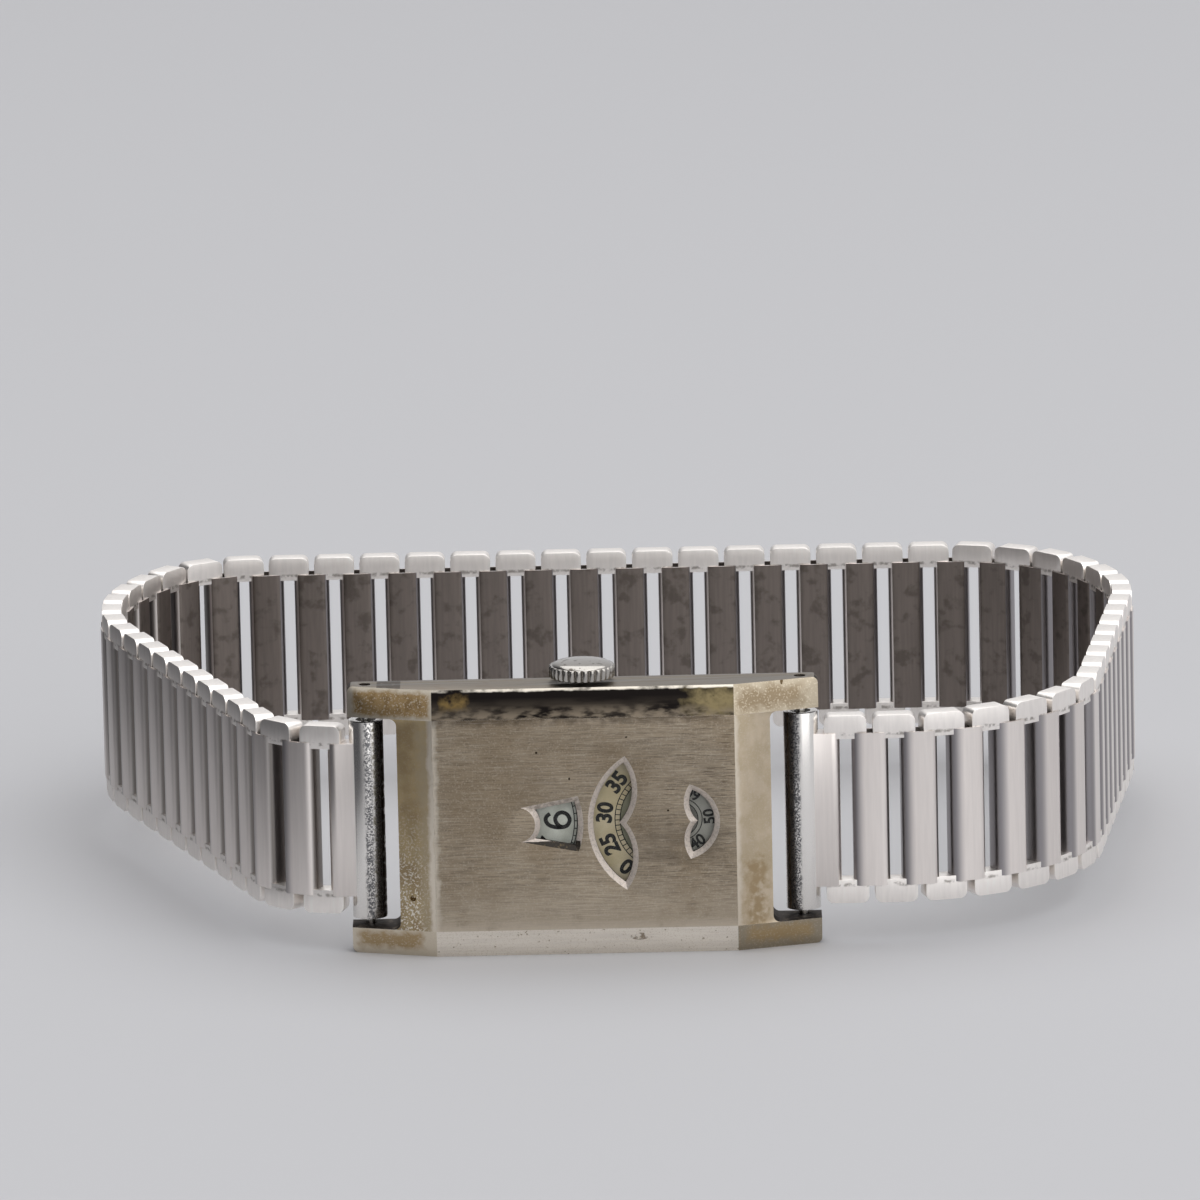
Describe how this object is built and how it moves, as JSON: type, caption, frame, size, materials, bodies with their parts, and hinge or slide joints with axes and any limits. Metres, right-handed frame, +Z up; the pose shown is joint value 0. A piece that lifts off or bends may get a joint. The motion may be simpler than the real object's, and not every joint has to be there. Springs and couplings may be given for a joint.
{
  "type": "jumping hour wristwatch",
  "caption": "Rectangular jumping hour wristwatch standing on its long flank, with hour, minute and seconds windows, a crown and an expanding bar bracelet in a closed loop.",
  "frame": {"origin": "middle of the long flank that the watch stands on, half way through the case", "axes": "+Z up from that flank to the crown, +X to the right along the case as the dial side is seen, +Y from the dial side to the case back and the bracelet"},
  "size_m": [0.0903, 0.072, 0.0248],
  "materials": {
    "case_metal": "worn nickel plate, fine lengthwise brushing, brown tarnish on the bevels",
    "back_metal": "satin nickel plate",
    "window_glass": "clear crystal",
    "crown_metal": "polished nickel, knurled rim",
    "tube_metal": "polished steel with wear",
    "bar_metal": "satin steel brushed along each bar",
    "link_metal": "lightly polished steel",
    "leaf_metal": "plain spring steel",
    "pin_metal": "turned steel",
    "plate_metal": "grained gilt brass",
    "bridge_metal": "nickelled brass with fine stripes",
    "ring_metal": "dull brass",
    "wheel_metal": "gilt brass, circular grain",
    "steel_parts": "polished steel",
    "blued_steel": "heat-blued steel",
    "minute_paint": "aged cream paint with black print",
    "seconds_paint": "grey paint with black print",
    "hour_paint": "grey-green paint with black print"
  },
  "bodies": {
    "case": {"case_front": "case_metal", "window_glass": "window_glass", "movement_ring": "ring_metal", "spring_bars": "pin_metal", "main_plate": "plate_metal", "train_bridge": "bridge_metal", "barrel_bridge": "bridge_metal", "balance_cock": "bridge_metal", "bridge_screws": "blued_steel"},
    "back": {"case_back": "back_metal"},
    "winding": {"winding_pinion": "steel_parts"},
    "crown": {"crown": "crown_metal", "stem": "steel_parts"},
    "clutch": {"clutch_wheel": "steel_parts"},
    "crown_wheel": {"crown_wheel": "steel_parts"},
    "ratchet": {"ratchet_wheel": "steel_parts", "barrel_arbor": "steel_parts"},
    "click": {"click": "steel_parts"},
    "minutes": {"minute_disc": "minute_paint"},
    "cannon": {"cannon_wheel": "wheel_metal"},
    "hours": {"hour_disc": "hour_paint", "hour_star": "steel_parts"},
    "setting": {"setting_wheel": "steel_parts"},
    "hour_jumper": {"hour_jumper": "steel_parts"},
    "seconds": {"seconds_disc": "seconds_paint", "fourth_wheel": "wheel_metal"},
    "third": {"third_wheel": "wheel_metal"},
    "centre": {"centre_wheel": "wheel_metal"},
    "escape": {"escape_wheel": "steel_parts"},
    "barrel": {"barrel": "wheel_metal", "mainspring": "blued_steel"},
    "fork": {"pallet_fork": "steel_parts"},
    "balance": {"balance_wheel": "wheel_metal", "hairspring": "blued_steel"},
    "band_left_1": {"end_piece_left": "tube_metal", "bars_left_1": "bar_metal", "links_left_1": "link_metal", "leaves_left_1": "leaf_metal"},
    "band_left_2": {"bars_left_2": "bar_metal", "links_left_2": "link_metal", "leaves_left_2": "leaf_metal"},
    "band_left_3": {"bars_left_3": "bar_metal", "links_left_3": "link_metal", "leaves_left_3": "leaf_metal"},
    "band_left_4": {"bars_left_4": "bar_metal", "links_left_4": "link_metal", "leaves_left_4": "leaf_metal"},
    "band_right_1": {"end_piece_right": "tube_metal", "bars_right_1": "bar_metal", "links_right_1": "link_metal", "leaves_right_1": "leaf_metal"},
    "band_right_2": {"bars_right_2": "bar_metal", "links_right_2": "link_metal", "leaves_right_2": "leaf_metal"},
    "band_right_3": {"bars_right_3": "bar_metal", "links_right_3": "link_metal", "leaves_right_3": "leaf_metal"},
    "band_right_4": {"bars_right_4": "bar_metal", "links_right_4": "link_metal", "leaves_right_4": "leaf_metal"}
  },
  "joints": [
    {"name": "case_back_off", "type": "slide", "parent": "case", "child": "back", "axis": [0, 1, 0], "range_m": [0, 0.014]},
    {"name": "crown_turn", "type": "hinge", "parent": "case", "child": "winding", "pos_m": [0, 0.00025, 0.0175], "axis": [0, 0, 1], "continuous": true},
    {"name": "crown_pull", "type": "slide", "parent": "winding", "child": "crown", "axis": [0, 0, 1], "range_m": [0, 0.0009]},
    {"name": "clutch_slide", "type": "slide", "parent": "winding", "child": "clutch", "axis": [0, 0, 1], "range_m": [-0.0009, 0]},
    {"name": "crown_wheel_turn", "type": "hinge", "parent": "case", "child": "crown_wheel", "pos_m": [0, 0.00005, 0.01495], "axis": [0, 1, 0], "continuous": true},
    {"name": "ratchet_turn", "type": "hinge", "parent": "case", "child": "ratchet", "pos_m": [-0.0054, 0.00005, 0.0103], "axis": [0, 1, 0], "continuous": true},
    {"name": "click_lift", "type": "hinge", "parent": "case", "child": "click", "pos_m": [-0.0106, 0.00005, 0.0073], "axis": [0, 1, 0], "range_deg": [-8, 0], "stiffness_Nm_per_rad": 0.0001},
    {"name": "minute_turn", "type": "hinge", "parent": "case", "child": "minutes", "pos_m": [0.00704, -0.00245, 0.0115], "axis": [0, 1, 0], "continuous": true},
    {"name": "cannon_turn", "type": "hinge", "parent": "case", "child": "cannon", "pos_m": [0, -0.00245, 0.0115], "axis": [0, 1, 0], "continuous": true},
    {"name": "hour_turn", "type": "hinge", "parent": "case", "child": "hours", "pos_m": [-0.0069, -0.00245, 0.0115], "axis": [0, 1, 0], "continuous": true},
    {"name": "setting_turn", "type": "hinge", "parent": "case", "child": "setting", "pos_m": [0, -0.00245, 0.01612], "axis": [0, 1, 0], "continuous": true},
    {"name": "jumper_lift", "type": "hinge", "parent": "case", "child": "hour_jumper", "pos_m": [-0.0114, -0.00245, 0.0161], "axis": [0, 1, 0], "range_deg": [0, 6], "stiffness_Nm_per_rad": 0.0001},
    {"name": "seconds_turn", "type": "hinge", "parent": "case", "child": "seconds", "pos_m": [0.00805, 0.00005, 0.0115], "axis": [0, 1, 0], "continuous": true},
    {"name": "third_turn", "type": "hinge", "parent": "case", "child": "third", "pos_m": [0.00475, 0.00005, 0.0137], "axis": [0, 1, 0], "continuous": true},
    {"name": "centre_turn", "type": "hinge", "parent": "case", "child": "centre", "pos_m": [0, 0.00005, 0.0115], "axis": [0, 1, 0], "continuous": true},
    {"name": "escape_turn", "type": "hinge", "parent": "case", "child": "escape", "pos_m": [0.01058, 0.00005, 0.00938], "axis": [0, 1, 0], "continuous": true},
    {"name": "barrel_turn", "type": "hinge", "parent": "case", "child": "barrel", "pos_m": [-0.0054, 0.00005, 0.0103], "axis": [0, 1, 0], "continuous": true},
    {"name": "fork_swing", "type": "hinge", "parent": "case", "child": "fork", "pos_m": [0.00871, 0.00005, 0.00804], "axis": [0, 1, 0], "range_deg": [-3.5, 3.5]},
    {"name": "balance_swing", "type": "hinge", "parent": "case", "child": "balance", "pos_m": [0.0053, 0.00005, 0.0056], "axis": [0, 1, 0], "range_deg": [-270, 270], "stiffness_Nm_per_rad": 0.0000001},
    {"name": "band_flex", "type": "hinge", "parent": "case", "child": "band_left_1", "pos_m": [-0.0183, 0.00055, 0.0115], "axis": [0, 0, 1], "range_deg": [-4, 4]},
    {"name": "left_bend", "type": "hinge", "parent": "band_left_1", "child": "band_left_2", "pos_m": [-0.03071, 0.01514, 0.0115], "axis": [0, 0, 1], "range_deg": [-5.16, 5.16]},
    {"name": "band_stretch", "type": "slide", "parent": "band_left_2", "child": "band_left_3", "axis": [0, -1, 0], "range_m": [0, 0.0003]},
    {"name": "left_corner", "type": "hinge", "parent": "band_left_3", "child": "band_left_4", "pos_m": [-0.02887, 0.06764, 0.0115], "axis": [0, 0, 1], "range_deg": [-1.16, 1.16]},
    {"name": "right_lug_turn", "type": "hinge", "parent": "case", "child": "band_right_1", "pos_m": [0.0183, 0.00055, 0.0115], "axis": [0, 0, 1], "range_deg": [-1.95, 1.95]},
    {"name": "right_bend", "type": "hinge", "parent": "band_right_1", "child": "band_right_2", "pos_m": [0.04252, 0.01286, 0.0115], "axis": [0, 0, 1], "range_deg": [-2.38, 2.38]},
    {"name": "right_stretch", "type": "slide", "parent": "band_right_2", "child": "band_right_3", "axis": [0, -1, 0], "range_m": [0, 0.0003]},
    {"name": "right_corner", "type": "hinge", "parent": "band_right_3", "child": "band_right_4", "pos_m": [0.02921, 0.06755, 0.0115], "axis": [0, 0, 1], "range_deg": [-0.48, 0.48]}
  ],
  "couplings": [
    {"joint": "clutch_slide", "follows": "crown_pull", "ratio": -1},
    {"joint": "crown_wheel_turn", "follows": "crown_turn", "ratio": -0.53846},
    {"joint": "ratchet_turn", "follows": "crown_turn", "ratio": 0.33333},
    {"joint": "cannon_turn", "follows": "minute_turn", "ratio": -1},
    {"joint": "hour_turn", "follows": "minute_turn", "ratio": 0.083333},
    {"joint": "setting_turn", "follows": "minute_turn", "ratio": 3.2},
    {"joint": "third_turn", "follows": "seconds_turn", "ratio": -0.125},
    {"joint": "centre_turn", "follows": "seconds_turn", "ratio": 0.016667},
    {"joint": "escape_turn", "follows": "seconds_turn", "ratio": -10},
    {"joint": "barrel_turn", "follows": "seconds_turn", "ratio": -0.0022222},
    {"joint": "left_bend", "follows": "band_flex", "ratio": -1.2779},
    {"joint": "left_corner", "follows": "band_flex", "ratio": 0.27787},
    {"joint": "right_lug_turn", "follows": "band_flex", "ratio": -0.4748},
    {"joint": "right_bend", "follows": "band_flex", "ratio": 0.58171},
    {"joint": "right_corner", "follows": "band_flex", "ratio": -0.10691},
    {"joint": "right_stretch", "follows": "band_stretch", "ratio": 1}
  ]
}
